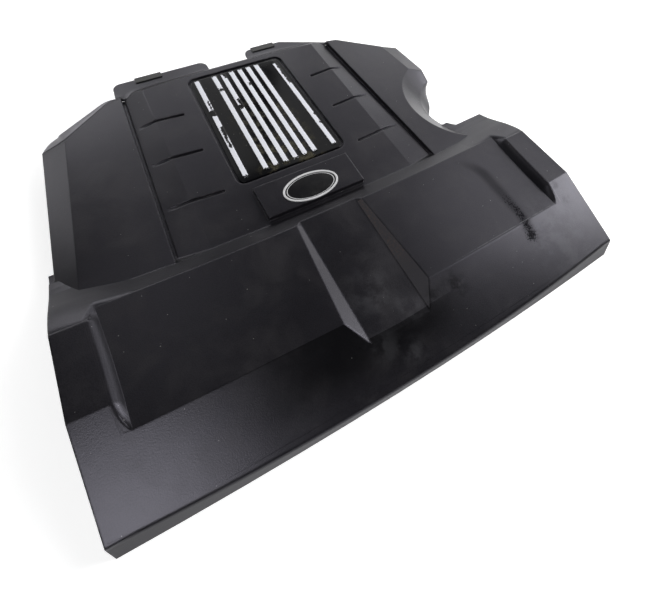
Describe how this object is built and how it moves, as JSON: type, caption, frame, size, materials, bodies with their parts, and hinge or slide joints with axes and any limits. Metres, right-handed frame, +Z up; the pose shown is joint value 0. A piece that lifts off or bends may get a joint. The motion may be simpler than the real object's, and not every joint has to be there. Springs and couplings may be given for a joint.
{
  "type": "engine cover",
  "caption": "Moulded black engine cover with recessed hood and centre channel, grooved deck, striped insert panel, oval badge and rubber stud sockets.",
  "frame": {"origin": "middle of the bounding box at its foot, on the plane that the front lip and the rear grommets stand on", "axes": "+X to the cover's right seen from the front lip, +Y from the front lip to the rear tabs, +Z up out of the engine"},
  "size_m": [0.6792, 0.5875, 0.0675],
  "materials": {
    "shell": "satin, finely grained black moulding",
    "panel": "gloss black with silver foil on raised stripes, peeling in places",
    "badge": "dark gloss field inside a bright silver rim",
    "clip": "matte black",
    "rubber": "matte black rubber"
  },
  "bodies": {
    "root": {"cover_shell": "shell", "stripe_panel": "panel", "badge": "badge", "clip_left": "clip", "clip_right": "clip", "grommet_front_left": "rubber", "grommet_front_right": "rubber", "grommet_rear_left": "rubber", "grommet_rear_right": "rubber"}
  },
  "joints": []
}
